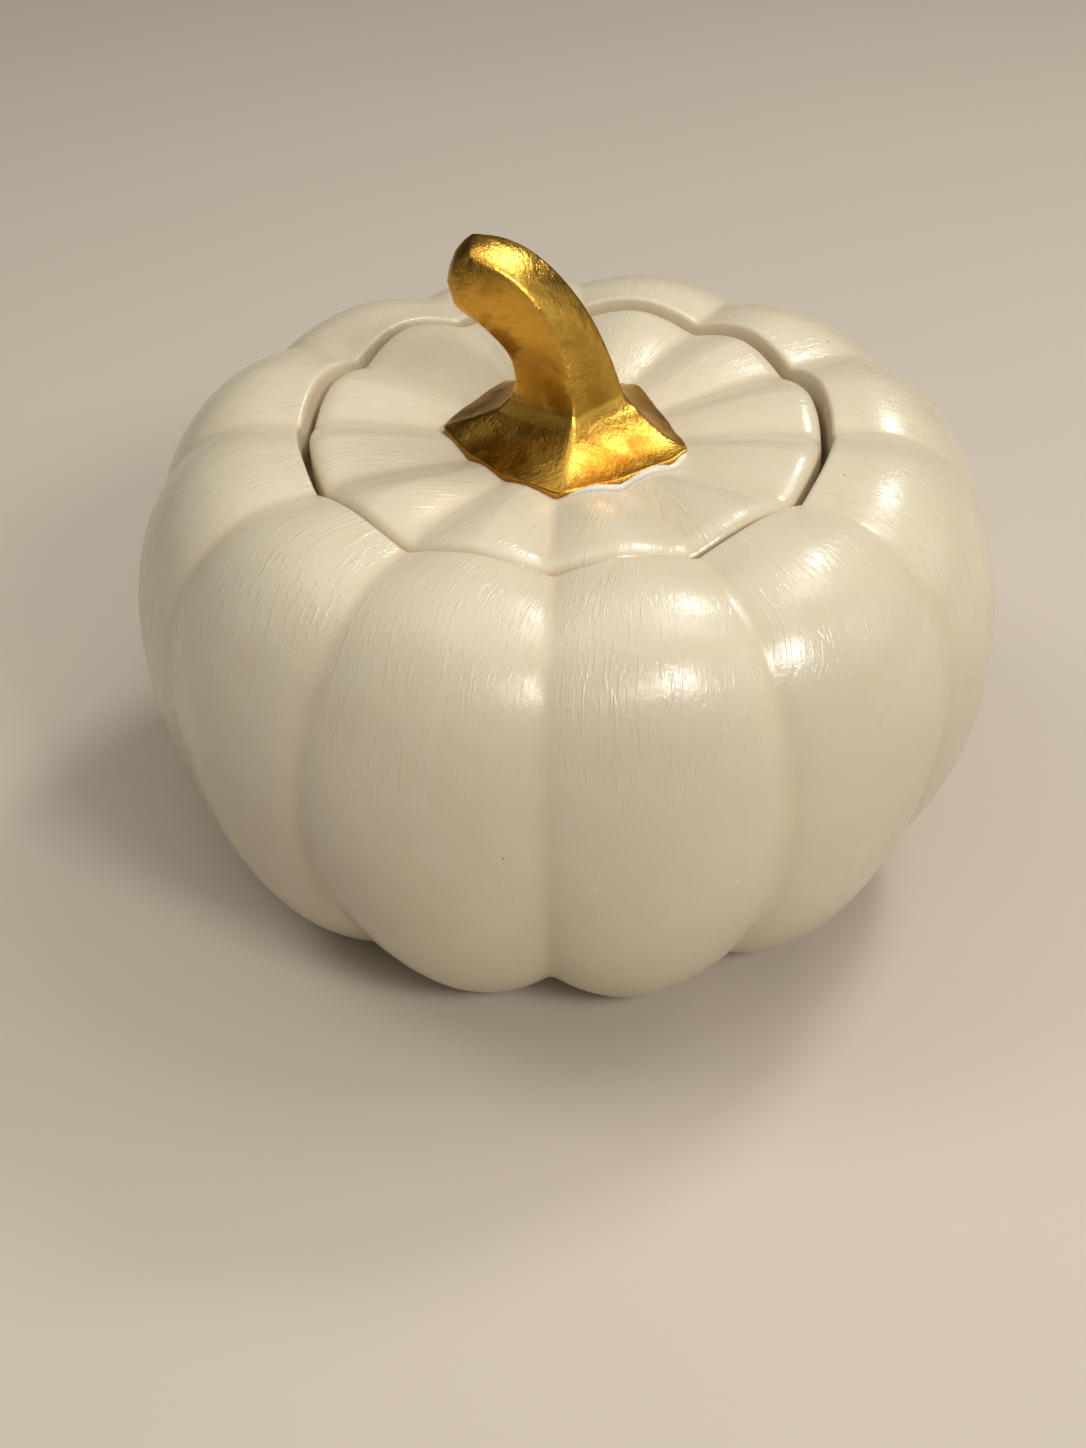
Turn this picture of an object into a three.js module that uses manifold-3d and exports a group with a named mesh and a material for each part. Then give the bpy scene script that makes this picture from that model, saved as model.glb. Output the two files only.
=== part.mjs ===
// A lidded jar shaped like a pumpkin: a hollow bowl of twelve lobes, a lid that drops into a recess in the
// bowl's top, and a gilt stem on the lid as its handle. Millimetres, +Z up. The origin is on the table,
// under the middle of the bowl, and the jar is seen from -Y.

import * as THREE from "three";
import { mergeVertices } from "three/addons/utils/BufferGeometryUtils.js";
import Module from "manifold-3d";

// Lobes
const LOBES = 12;
const FIRST_GROOVE_DEG = -93; // direction of the groove nearest the front
const STEPS_PER_LOBE = 8;
const LOBE_POWER = 2; // 2 makes each lobe a round arch between two creases

// Bowl, outside
const BELLY_R = 80;
const BELLY_Z = 50;
const RIM_Z = 90; // crest of a lobe at the mouth
const SHOULDER_R = 53; // where the shoulder arch begins, outside the mouth
const FOOT_R = 54.5; // where a lobe leaves the table
const SEAT_R = 40; // the flat spot under the bowl, inside every groove
const RIM_ROUND = 2;
const GROOVE_AT_RIM = 3;
const GROOVE_AT_BELLY = 1.5;
const GROOVE_AT_FOOT = 4.4;
const GROOVE_UNDER_FOOT = 2; // half way from the foot to the flat spot
// How square the arches are, across and up: 1 is round, below 1 is squarer, above 1 is more pointed
const FOOT_ARCH = [1.29, 1.07];
const SHOULDER_ARCH = [0.93, 0.82];

// Bowl, inside
const MOUTH_R = 48.3; // wall of the recess that the lid drops into
const LEDGE_Z = 79;
const LEDGE_INNER_R = 41.5;
const LEDGE_THICK = 4;
const RECESS_WALL = 2.7; // behind the recess, where the cavity rises into the shoulder
const CAVITY_R = 73.5;
const CAVITY_Z = 48; // height of its widest ring
const CEILING_R = 52;
const CEILING_Z = 82;
const FLOOR_R = 43;
const FLOOR_Z = 6;
const HOLLOW_ARCH = [1.3, 1.05];
const ROUND = [1, 1];

// Lid
const GAP = 0.3; // between pieces that touch
const LID_R = 45.9;
const LID_EDGE_Z = 89.2; // crest of a lobe at the lid's edge
const LID_CROWN_Z = 89.7; // the highest ring of the lid
const LID_CROWN_R = 40;
const LID_MIDDLE_Z = 84.5; // the lid dips to its middle, under the stem
const LID_ROUND = 2;
const LID_BOTTOM_ROUND = 1;
const LID_GROOVE = 2.7; // at the edge; the lobes melt together towards the middle
const LID_DISH_POWER = 1.4; // above 1, the dip round the stem is wider
const LID_HOLLOW = 1.5; // the underside is dished, so that only its edge rests on the ledge
const LID_REST_R = 38;

// Stem: five ridges, flared at the root and bent to the left. The ridges are given at the root, with how far
// the root's edge swells between each ridge and the next, as a share of its radius.
const STEM_RIDGES = [
  { deg: -94, r: 22.9, swell: 0.12 },
  { deg: -23, r: 23.3, swell: 0.02 },
  { deg: 50, r: 20.8, swell: 0.05 },
  { deg: 121, r: 21.2, swell: 0.03 },
  { deg: 179, r: 22.3, swell: 0.15 },
];
const STEM_STEPS_PER_FACE = 8;
const STEM_ROOT_Z = 82; // inside the lid, where the lid cuts it off
const STEM_EDGE = 1.7; // height of the thin upright edge round the root, between ridges
const STEM_EDGE_AT_RIDGE = 0.9;
const STEM_AXIS = [
  [0.2, 0, 86],
  [0.2, 0, 92],
  [-0.4, 0, 98.5],
  [-3.3, 0, 106.3],
  [-9.3, 0, 113.3],
  [-16.0, 0, 117.3],
  [-19.2, 0, 118.4],
];
// Along the axis, from 0 at the root to 1 at the tip: the ridges' size, as a share of the root's, how far every
// face swells there, how far the ridges have turned round the axis, and how closely the ring follows the
// lid's lobes and the root's edge.
const STEM_SECTIONS = [
  { at: 0.0, size: 1.0, swell: 0.0, twist: 0, follow: 1 },
  { at: 0.035, size: 0.91, swell: 0.0, twist: 1, follow: 0.6 },
  { at: 0.07, size: 0.79, swell: -0.02, twist: 3, follow: 0.3 },
  { at: 0.105, size: 0.67, swell: -0.03, twist: 5, follow: 0.1 },
  { at: 0.14, size: 0.56, swell: -0.03, twist: 7, follow: 0 },
  { at: 0.18, size: 0.475, swell: 0.0, twist: 9, follow: 0 },
  { at: 0.25, size: 0.41, swell: 0.04, twist: 12, follow: 0 },
  { at: 0.34, size: 0.375, swell: 0.07, twist: 15, follow: 0 },
  { at: 0.45, size: 0.35, swell: 0.1, twist: 18, follow: 0 },
  { at: 0.57, size: 0.34, swell: 0.12, twist: 24, follow: 0 },
  { at: 0.7, size: 0.345, swell: 0.13, twist: 34, follow: 0 },
  { at: 0.82, size: 0.335, swell: 0.14, twist: 44, follow: 0 },
  { at: 0.92, size: 0.31, swell: 0.15, twist: 50, follow: 0 },
  { at: 0.975, size: 0.265, swell: 0.15, twist: 53, follow: 0 },
  { at: 1.0, size: 0.19, swell: 0.15, twist: 54, follow: 0 },
];

const radians = THREE.MathUtils.degToRad;
const wasm = await Module();
wasm.setup();

// Points along a quarter of a superellipse, from where it stands upright to where it lies level.
// across and up are its half axes, and the two powers set how square it is.
function quarterArch(centreR, centreZ, across, up, [powerR, powerZ], steps) {
  return Array.from({ length: steps + 1 }, (_, i) => {
    const turn = (i / steps) * (Math.PI / 2);
    return {
      r: centreR + across * Math.cos(turn) ** powerR,
      z: centreZ + up * Math.sin(turn) ** powerZ,
      share: i / steps,
    };
  });
}

// Moves each point of an outline into the groove beside it: depthAt gives the groove's depth at a point,
// square to the outline. The shift is kept with the point, and used in full only at a groove.
function withGrooves(points, depthAt) {
  return points.map((p, i) => {
    const before = points[Math.max(i - 1, 0)];
    const after = points[Math.min(i + 1, points.length - 1)];
    const along = new THREE.Vector2(after.r - before.r, after.z - before.z).normalize();
    const depth = depthAt(p);
    return { r: p.r, z: p.z, dr: -along.y * depth, dz: along.x * depth };
  });
}

// How far into a groove a direction lies: 0 on the crest of a lobe, 1 at the bottom of a groove.
function grooveShare(azimuth) {
  const lobes = ((azimuth - radians(FIRST_GROOVE_DEG)) * LOBES) / (2 * Math.PI);
  const fromCrest = 2 * (lobes - Math.floor(lobes)) - 1;
  return Math.abs(fromCrest) ** LOBE_POWER;
}

// A lathed solid whose outline shifts in and out of the grooves. An outline point may hold a shift (dr, dz).
function lobedLathe(outline) {
  const points = outline.map((p) => new THREE.Vector2(p.r, p.z));
  const lathe = new THREE.LatheGeometry(points, LOBES * STEPS_PER_LOBE);
  const position = lathe.getAttribute("position");
  for (let i = 0; i < position.count; i++) {
    const p = outline[i % outline.length];
    const step = Math.floor(i / outline.length) % (LOBES * STEPS_PER_LOBE);
    const azimuth = radians(FIRST_GROOVE_DEG + (step / STEPS_PER_LOBE) * (360 / LOBES));
    const share = grooveShare(azimuth);
    const r = p.r + (p.dr ?? 0) * share;
    const z = p.z + (p.dz ?? 0) * share;
    position.setXYZ(i, r * Math.cos(azimuth), r * Math.sin(azimuth), z);
  }
  return closed(lathe);
}

// Keeps only the shape, with its shared vertices merged.
function closed(geometry) {
  geometry.deleteAttribute("normal");
  geometry.deleteAttribute("uv");
  const merged = mergeVertices(geometry, 1e-3);
  merged.computeVertexNormals();
  return merged;
}

function toSolid(geometry) {
  return new wasm.Manifold(
    new wasm.Mesh({
      numProp: 3,
      vertProperties: new Float32Array(geometry.getAttribute("position").array),
      triVerts: new Uint32Array(geometry.index.array),
    }),
  );
}

function toGeometry(solid) {
  const mesh = solid.getMesh();
  const geometry = new THREE.BufferGeometry();
  geometry.setAttribute("position", new THREE.BufferAttribute(mesh.vertProperties, 3));
  geometry.setIndex(new THREE.BufferAttribute(mesh.triVerts, 1));
  geometry.computeVertexNormals();
  return geometry;
}

// Bowl

function bowlOutside() {
  const foot = quarterArch(FOOT_R, BELLY_Z, BELLY_R - FOOT_R, -BELLY_Z, FOOT_ARCH, 9).reverse();
  const shoulder = quarterArch(SHOULDER_R, BELLY_Z, BELLY_R - SHOULDER_R, RIM_Z - BELLY_Z, SHOULDER_ARCH, 9);
  const footDepth = (p) =>
    GROOVE_AT_BELLY + (GROOVE_AT_FOOT - GROOVE_AT_BELLY) * Math.sin((p.share * Math.PI) / 2);
  const shoulderDepth = (p) =>
    GROOVE_AT_BELLY + (GROOVE_AT_RIM - GROOVE_AT_BELLY) * (1 - Math.cos((p.share * Math.PI) / 2));
  const seat = [
    { r: 0, z: 0 },
    { r: SEAT_R / 2, z: 0 },
    { r: SEAT_R, z: 0 },
    { r: (SEAT_R + FOOT_R) / 2, z: 0, dz: GROOVE_UNDER_FOOT },
  ];
  return [
    ...seat,
    ...withGrooves(foot, footDepth),
    ...withGrooves(shoulder, shoulderDepth).slice(1),
  ];
}

// The rounded lip of the mouth, the recess wall and the ledge that holds the lid up
function bowlMouth() {
  const lip = quarterArch(MOUTH_R + RIM_ROUND, RIM_Z - RIM_ROUND, -RIM_ROUND, RIM_ROUND, ROUND, 3).reverse();
  return [
    ...lip.map((p) => ({ r: p.r, z: p.z, dz: -GROOVE_AT_RIM })),
    { r: MOUTH_R, z: LEDGE_Z },
    { r: LEDGE_INNER_R, z: LEDGE_Z },
    { r: LEDGE_INNER_R, z: LEDGE_Z - LEDGE_THICK },
  ];
}

function bowlCavity() {
  const up = CEILING_Z - CAVITY_Z;
  const ceiling = quarterArch(CEILING_R, CAVITY_Z, CAVITY_R - CEILING_R, up, SHOULDER_ARCH, 6).reverse();
  const floor = quarterArch(FLOOR_R, CAVITY_Z, CAVITY_R - FLOOR_R, FLOOR_Z - CAVITY_Z, HOLLOW_ARCH, 6);
  return [
    { r: MOUTH_R + RECESS_WALL, z: LEDGE_Z - LEDGE_THICK },
    ...ceiling,
    ...floor.slice(1),
    { r: FLOOR_R / 2, z: FLOOR_Z },
    { r: 0, z: FLOOR_Z },
  ];
}

function makeBowl() {
  return lobedLathe([...bowlOutside(), ...bowlMouth(), ...bowlCavity()]);
}

// Lid

// How far the lid has risen from its middle, 0, to its highest ring, 1
function lidRise(r) {
  return ((1 - Math.cos(Math.PI * Math.min(r / LID_CROWN_R, 1))) / 2) ** LID_DISH_POWER;
}

function lidCrest(r) {
  return LID_MIDDLE_Z + (LID_CROWN_Z - LID_MIDDLE_Z) * lidRise(r);
}

function lidTop(x, y) {
  const r = Math.hypot(x, y);
  return lidCrest(r) - LID_GROOVE * lidRise(r) * grooveShare(Math.atan2(y, x));
}

function makeLid() {
  const bottomZ = LEDGE_Z + GAP;
  const edge = quarterArch(LID_R - LID_ROUND, LID_EDGE_Z - LID_ROUND, LID_ROUND, LID_ROUND, ROUND, 3);
  const topRings = [LID_CROWN_R, 35.5, 31, 26.5, 22, 17.5, 12, 6, 0];
  return lobedLathe([
    { r: 0, z: bottomZ + LID_HOLLOW },
    { r: LID_REST_R - LID_HOLLOW, z: bottomZ + LID_HOLLOW },
    { r: LID_REST_R, z: bottomZ },
    { r: LID_R - LID_BOTTOM_ROUND, z: bottomZ },
    { r: LID_R, z: bottomZ + LID_BOTTOM_ROUND },
    ...edge.map((p) => ({ r: p.r, z: p.z, dz: -LID_GROOVE })),
    ...topRings.map((r) => ({ r, z: lidCrest(r), dz: -LID_GROOVE * lidRise(r) })),
  ]);
}

// Stem

// One point of the stem's skin: its offset from the axis, and how near it is to the middle of its face, 1, or to
// a ridge, 0. column counts round the stem.
function stemSkin(column, { size, swell, twist, follow }) {
  const face = Math.floor(column / STEM_STEPS_PER_FACE);
  const share = (column % STEM_STEPS_PER_FACE) / STEM_STEPS_PER_FACE;
  const [from, to] = [face, (face + 1) % STEM_RIDGES.length].map((ridge) => {
    const angle = radians(STEM_RIDGES[ridge].deg + twist);
    return new THREE.Vector2(Math.cos(angle), Math.sin(angle)).multiplyScalar(STEM_RIDGES[ridge].r);
  });
  const middle = 4 * share * (1 - share);
  const push = 1 + (swell + STEM_RIDGES[face].swell * follow) * middle;
  return { middle, offset: from.lerp(to, share).multiplyScalar(size * push) };
}

function makeStem(lidSolid) {
  const knots = STEM_AXIS.map((p) => new THREE.Vector3(...p));
  const axis = new THREE.CatmullRomCurve3(knots, false, "centripetal");
  const [root] = STEM_SECTIONS;
  const tip = STEM_SECTIONS.at(-1);
  const rings = [
    { ...root, size: 0, sunk: true },
    { ...root, sunk: true },
    ...STEM_SECTIONS,
    { ...tip, size: 0 },
  ];
  const columns = STEM_RIDGES.length * STEM_STEPS_PER_FACE;
  const outline = rings.map(({ size }, i) => new THREE.Vector2(size, i));
  const lathe = new THREE.LatheGeometry(outline, columns);
  const position = lathe.getAttribute("position");
  const back = new THREE.Vector3(0, 1, 0);
  for (let i = 0; i < position.count; i++) {
    const ring = rings[i % rings.length];
    const { middle, offset } = stemSkin(Math.floor(i / rings.length) % columns, ring);
    const side = new THREE.Vector3().crossVectors(back, axis.getTangentAt(ring.at)).normalize();
    const point = axis.getPointAt(ring.at).addScaledVector(side, offset.x).addScaledVector(back, offset.y);
    const edge = STEM_EDGE_AT_RIDGE + (STEM_EDGE - STEM_EDGE_AT_RIDGE) * middle;
    const onLid = lidTop(point.x, point.y) + GAP + edge;
    const lift = (onLid - STEM_AXIS[0][2]) * ring.follow;
    position.setXYZ(i, point.x, point.y, ring.sunk ? STEM_ROOT_Z : point.z + lift);
  }
  // The root rests on the lid's lobes, so the lid, raised by the gap, is cut out of it.
  return toGeometry(toSolid(closed(lathe)).subtract(lidSolid.translate([0, 0, GAP])));
}

// The jar

const CREAM = 0xe2dac3;
const GILT = 0xc8962e;

function piece(name, geometry, color, roughness, metalness) {
  const mesh = new THREE.Mesh(geometry, new THREE.MeshStandardMaterial({ color, roughness, metalness }));
  mesh.name = name;
  return mesh;
}

const lidGeometry = makeLid();
const jar = new THREE.Group();
jar.add(piece("bowl", makeBowl(), CREAM, 0.3, 0));
jar.add(piece("lid", lidGeometry, CREAM, 0.3, 0));
jar.add(piece("stem", makeStem(toSolid(lidGeometry)), GILT, 0.35, 0.9));

export default jar;
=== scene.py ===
"""Dresses a lidded pumpkin jar: a cream brush-painted bowl and lid, and a gilt stem glued on the lid.

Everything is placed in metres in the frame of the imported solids: +Z up, the origin on the table under the
middle of the bowl, the stem bending towards -X. Outlines are worked out in millimetres until they are meshes.
"""

import math

import bpy
import numpy as np
from mathutils import Matrix, Vector, noise


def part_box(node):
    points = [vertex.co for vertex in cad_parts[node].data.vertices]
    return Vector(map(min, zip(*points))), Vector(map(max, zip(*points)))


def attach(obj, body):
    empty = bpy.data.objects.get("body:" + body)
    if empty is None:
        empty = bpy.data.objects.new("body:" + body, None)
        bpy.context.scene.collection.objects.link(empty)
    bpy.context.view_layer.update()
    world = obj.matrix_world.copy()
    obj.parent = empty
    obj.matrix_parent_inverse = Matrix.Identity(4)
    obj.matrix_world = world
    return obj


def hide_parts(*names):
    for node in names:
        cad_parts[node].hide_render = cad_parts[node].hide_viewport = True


bl_info = {
    "name": "Pumpkin Jar",
    "version": (1, 0, 0),
    "blender": (4, 5, 0),
    "location": "3D View > Sidebar > Jar",
    "description": "Builds a painted lidded pumpkin jar with a gilt stem, and a plain studio round it",
    "category": "Add Mesh",
}

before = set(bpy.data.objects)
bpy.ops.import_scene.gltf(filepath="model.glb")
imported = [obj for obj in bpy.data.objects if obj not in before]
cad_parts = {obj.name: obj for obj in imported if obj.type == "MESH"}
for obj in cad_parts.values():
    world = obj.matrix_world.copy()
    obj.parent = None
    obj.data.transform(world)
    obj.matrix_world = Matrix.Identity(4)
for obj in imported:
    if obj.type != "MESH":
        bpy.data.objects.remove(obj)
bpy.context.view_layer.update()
MM = 0.001

# The lobes, shared by the bowl and the lid
LOBES = 12
FIRST_GROOVE_DEG = -93
STEPS_PER_LOBE = 40
BOWL_SOFTNESS = 0.05  # how rounded a groove's bottom is, as a share of half a lobe
LID_SOFTNESS = 0.14
ROOT_SOFTNESS = 0.08
BOWL_UNEVENNESS = 0.22  # how far the surface wanders from true, in millimetres
LID_UNEVENNESS = 0.12
BODY_WAVES = ((0.045, 1.0), (0.13, 0.4))  # that unevenness: waves to a millimetre, and their strength
GROOVE_LEANS = [
    # direction of a groove, and how far it wanders sideways at the rim and at the belly, in degrees
    (-153, 0.2, -0.6),
    (-123, 0.2, -2.2),
    (-93, 0.3, 0.0),
    (-63, -0.8, 0.9),
    (-33, -0.6, 0.3),
    (27, 0.2, -0.8),
    (87, 0.0, 0.9),
    (147, -1.6, -1.5),
    (177, 0.8, -0.5),
]
CREASE_PINCH = 0.45  # how much deeper the grooves are right at the crease, in millimetres
LEAN_HEIGHT = 88  # where a groove's lean is that of the rim, in millimetres

# Arches of the outlines: the powers of their superellipses, across and up
FOOT_ARCH = (1.29, 1.07)
SHOULDER_ARCH = (0.93, 0.82)
HOLLOW_ARCH = (1.3, 1.05)
ROUND = (1, 1)

# The lid, in millimetres and degrees
LID_MIDDLE_Z = 84.5
LID_RISE = 5.2  # from its middle to its highest ring
LID_RISE_RADIUS = 40  # where that ring is
LID_RISE_POWER = 1.4
LID_GROOVE = 2.7
LID_TURN_DEG = -1.2  # the lid was put back a little turned
LONG_LOBE_DEG = 129  # one lobe stands further out than the others
LONG_LOBE = 1.5
LONG_LOBE_HALF_DEG = 22
LONG_LOBE_POWER = 1.4
LONG_LOBE_LIFT = 0.4  # how far it also stands up, as a share of how far it stands out
LONG_LOBE_RADII = (38, 46)  # where it starts to stand out, and where it stands out in full
LONG_LOBE_HEIGHTS = (82, 87)

# The stem, in millimetres: ridges at its root, its centre line and its sections, crisper than in the solids
STEM_RIDGES = [
    # direction in degrees, radius, swell of the root's edge towards the next ridge
    (-94, 22.9, 0.12),
    (-23, 23.3, 0.02),
    (50, 20.8, 0.05),
    (121, 21.2, 0.03),
    (179, 22.3, 0.15),
]
STEM_AXIS = [
    # x, y, z
    (0.2, 0, 86),
    (0.2, 0, 92),
    (-0.4, 0, 98.5),
    (-3.3, 0, 106.3),
    (-9.3, 0, 113.3),
    (-16.0, 0, 117.3),
    (-19.2, 0, 118.4),
]
STEM_SECTIONS = [
    # share of the way to the tip, size, swell of the faces, twist in degrees, how closely it follows the lid
    (0.0, 1.0, 0.0, 0, 1),
    (0.035, 0.91, 0.0, 1, 0.6),
    (0.07, 0.79, -0.02, 3, 0.3),
    (0.105, 0.67, -0.03, 5, 0.1),
    (0.14, 0.56, -0.03, 7, 0),
    (0.18, 0.475, 0.0, 9, 0),
    (0.25, 0.41, 0.0, 12, 0),
    (0.34, 0.38, 0.02, 15, 0),
    (0.45, 0.355, 0.05, 18, 0),
    (0.57, 0.345, 0.08, 24, 0),
    (0.7, 0.35, 0.1, 34, 0),
    (0.82, 0.34, 0.12, 44, 0),
    (0.91, 0.315, 0.15, 50, 0),
    (0.955, 0.28, 0.18, 52, 0),
    (0.982, 0.235, 0.2, 54, 0),
    (0.995, 0.18, 0.2, 54, 0),
    (1.0, 0.12, 0.2, 54, 0),
]
STEM_STEPS_PER_FACE = 28
STEM_SMOOTHINGS = 130
STEM_WAVES = ((0.24, 1.0), (0.75, 0.45))  # its rough skin: waves to a millimetre, and their strength
SHAFT_ROUGHNESS = 0.09  # how far that skin wanders
ROOT_ROUGHNESS = 0.15  # how much further it wanders at the root
ROOT_CUT = 0.27  # how far under the lid's crests the root is cut, as a share of a groove's depth
ROOT_FLUTE = 0.3  # share of the lid's flutes that the cut follows
ROOT_CLEARANCE = 0.3  # how far the root's edge stands off that cut
ROOT_SINK = 0.4  # how far the sides of the root reach into the lid
ROOT_MIDDLE_SINK = 1.5  # how much further the middle of its underside does
TIP_DOME = 0.35  # how far the tip's middle bulges
HOLLOWS_END = 0.55  # share of the way to the tip up to which patina, partly painted shade, gathers in the middle of the faces
LOW_END = 0.3  # share of the way up to which the stem counts as low, and is a little duller
BEAD_SIDES = 10  # of the filler's rings

# Scattered dots of the finishes: metres between them, size in those, share of places left empty
GRIT = {"Cell": 0.0085, "Size": 0.026, "Rarity": 0.62}
PAINT_PITS = {"Cell": 0.0062, "Size": 0.032, "Rarity": 0.75}
GILT_HOLES = {"Cell": 0.0021, "Size": 0.075, "Rarity": 0.72}
GILT_SCABS = {"Cell": 0.0058, "Size": 0.085, "Rarity": 0.7}

# Brush strokes: how many go round the jar, their length in metres, detail, and where their noise starts
LONG_LINES = (125.0, 0.0052, 0.0, 0.0)
SHORT_LINES = (170.0, 0.0022, 0.0, 7.0)
HAIRS = (170.0, 0.010, 2.0, 3.0)
LAPS = (24.0, 0.030, 1.0, 5.0)
STROKES_START = (0.054, 0.076)  # heights in metres between which the raised lines come in

# Roughness of the finishes, from their glossiest places to their dullest
PAINT_ROUGHNESS = (0.175, 0.245)
GILT_ROUGHNESS = (0.25, 0.36)
FILLER_ROUGHNESS = (0.22, 0.4)
FLOOR_ROUGHNESS = 0.75
PAINT_SPECULAR = 0.62  # a little over the usual 0.5, for a satin paint

# Depth of each relief of the finishes, in metres
PAINT_DAPPLE_DEPTH = 0.00002
PAINT_GRAIN_DEPTH = 0.00004
STROKE_DEPTH = 0.00009
PAINT_PIT_DEPTH = 0.00005
GILT_DENT_DEPTH = 0.00006
GILT_FOLD_DEPTH = 0.000015
GILT_WRINKLE_DEPTH = 0.00011
GILT_GRAIN_DEPTH = 0.00004
GILT_CRACK_DEPTH = 0.00002
GILT_HOLE_DEPTH = 0.00012
FILLER_LUMP_DEPTH = 0.0002

# The camera, fitted to the photograph
FOCAL_PIXELS = 2000
PHOTOGRAPH_ROWS = 1448
SENSOR_MM = 36
CAMERA_PLACE = (0.0, -0.31685, 0.26541)
CAMERA_AHEAD = (-0.0122, 0.7899, -0.6131)
CAMERA_RIGHT = (0.9999, 0.0053, -0.0132)

# The studio, in metres
FLOOR_HALF = 6.0
LAMP_DISTANCE = 0.95
LAMP_AIM_Z = 0.07  # the lamps point at this height on the jar's axis
AIR_COLOUR = (1.0, 0.86, 0.70)
LAMPS = [
    # name, direction from the jar, width and depth, power in watts, whether glossy surfaces show it
    ("Ceiling panel", (0.0, 0.0, 1.0), (0.90, 0.90), 1.9, True),
    ("Ceiling panel left", (-0.34, 0.0, 0.94), (0.34, 0.34), 0.15, True),
    ("Ceiling panel right", (0.45, 0.1, 0.88), (0.40, 0.40), 1.7, True),
    ("Back right lamp", (0.47, 0.42, 0.78), (0.18, 0.18), 2.6, True),
    ("Front strip", (0.22, -0.75, 0.61), (0.44, 0.09), 1.3, True),
    ("Front right lamp", (0.48, -0.63, 0.61), (0.20, 0.20), 3.3, True),
    ("Front wall", (0.0, -1.0, 0.12), (0.90, 0.50), 0.12, True),
    ("Right panel", (0.93, -0.1, 0.33), (0.45, 0.45), 0.5, True),
    ("Left wall", (-0.88, -0.15, 0.40), (0.70, 0.40), 0.2, True),
    ("Left panel", (-0.58, 0.05, 0.81), (0.40, 0.40), 2.2, False),
]


# Properties


def length(name, description, default):
    return bpy.props.FloatProperty(
        name=name, description=description, default=default, min=0, unit="LENGTH", precision=4
    )


def colour(name, description, default):
    return bpy.props.FloatVectorProperty(
        name=name, description=description, default=default, size=3, min=0, max=1, subtype="COLOR"
    )


def share(name, description, default):
    return bpy.props.FloatProperty(
        name=name, description=description, default=default, min=0, max=1, subtype="FACTOR"
    )


class JarSizes(bpy.types.PropertyGroup):
    belly_radius: length("Belly radius", "From the axis to a lobe's crest at its widest", 0.080)
    belly_height: length("Belly height", "Height of the widest ring", 0.050)
    rim_height: length("Rim height", "Height of a lobe's crest at the mouth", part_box("bowl")[1][2])
    foot_radius: length("Foot radius", "Where a lobe leaves the table", 0.0545)
    mouth_radius: length("Mouth radius", "Wall of the recess that holds the lid", 0.0478)
    rim_rounding: length("Rim rounding", "Radius of the rim's inner edge", 0.0009)
    lid_radius: length("Lid radius", "From the axis to the lid's edge", 0.0459)
    lid_roll: length("Lid roll", "How far in the lid's edge starts to roll over", 0.0040)
    lid_drop: length("Lid drop", "How far down the lid's edge rolls", 0.0024)
    lid_groove: length("Lid groove", "Depth of the lid's grooves at its edge", LID_GROOVE * MM)
    stem_edge: length("Stem edge", "Height of the upright edge round the stem's root", 0.0009)
    filler_width: length("Filler width", "Width of the white filler along the stem's root", 0.0012)


class JarFinish(bpy.types.PropertyGroup):
    paint: colour("Paint", "Cream paint of the bowl and the lid", (0.68, 0.615, 0.475))
    # the thin paint colour also stands for painted shade in the grooves, the recess and on the lid's side
    thin_paint_and_shade: colour("Thin paint", "Paint at sharp edges, where the clay shows through", (0.60, 0.47, 0.30))
    bare_clay: colour("Bare clay", "Unpainted inside and underside", (0.62, 0.55, 0.45))
    speck: colour("Speck", "Grit in the paint", (0.10, 0.06, 0.03))
    gilt: colour("Gilt", "Gold of the stem", (0.88, 0.515, 0.088))
    # the patina colour is also the colour of the stem's painted shade, in its hollows and on faces turned
    # from above
    patina_and_shade: colour("Patina", "Dark gold in the stem's hollows", (0.40, 0.165, 0.013))
    filler: colour("Filler", "White filler under the stem", (0.80, 0.77, 0.70))
    strokes: share("Strokes", "How strongly the brush strokes show", 0.5)
    # painted shade: how strongly the grooves are darkened towards the thin paint colour
    groove_shade: share("Wear", "How far edges and grooves have worn", 0.5)


class StudioSettings(bpy.types.PropertyGroup):
    floor: colour("Floor", "Pale floor", (0.59, 0.53, 0.455))
    light: colour("Light", "Warm white of the lamps", (1.0, 0.96, 0.89))
    lamps: bpy.props.FloatProperty(
        name="Lamps", description="Brightness of all lamps, as a multiple", default=1.0, min=0
    )
    ambient: bpy.props.FloatProperty(
        name="Ambient", description="Strength of the light from all round", default=0.025, min=0
    )


# Outlines


def ramp(value, start, end):
    """0 up to start, 1 from end on, and evenly between them."""
    return np.clip((value - start) / (end - start), 0, 1)


def waves(point, octaves):
    """Smooth unevenness at a point in millimetres, from octaves of waves to a millimetre and strength."""
    return sum(strength * noise.noise(Vector(point) * closeness) for closeness, strength in octaves)


def quarter_arch(centre, size, powers, steps):
    """Rows of r, z and share of the way, along a quarter superellipse from upright to level."""
    way = np.linspace(0, 1, steps + 1)
    turn = way * math.pi / 2
    r = centre[0] + size[0] * np.clip(np.cos(turn), 0, 1) ** powers[0]
    z = centre[1] + size[1] * np.sin(turn) ** powers[1]
    return np.column_stack([r, z, way])


def plain(points):
    """Outline points that no groove shifts: rows of r, z, dr, dz."""
    points = np.asarray(points, float)
    return np.column_stack([points, np.zeros((len(points), 2))])


def with_grooves(arch, depth):
    """Shifts an arch's points square to it by depth(share) at a groove: rows of r, z, dr, dz."""
    along = np.gradient(arch[:, :2], axis=0)
    along /= np.linalg.norm(along, axis=1, keepdims=True)
    deep = depth(arch[:, 2])
    return np.column_stack([arch[:, :2], -along[:, 1] * deep, along[:, 0] * deep])


def line(start, end, steps):
    """Points after start, evenly spaced to end."""
    way = np.linspace(0, 1, steps + 1)[1:, None]
    return np.asarray(start, float) * (1 - way) + np.asarray(end, float) * way


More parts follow.
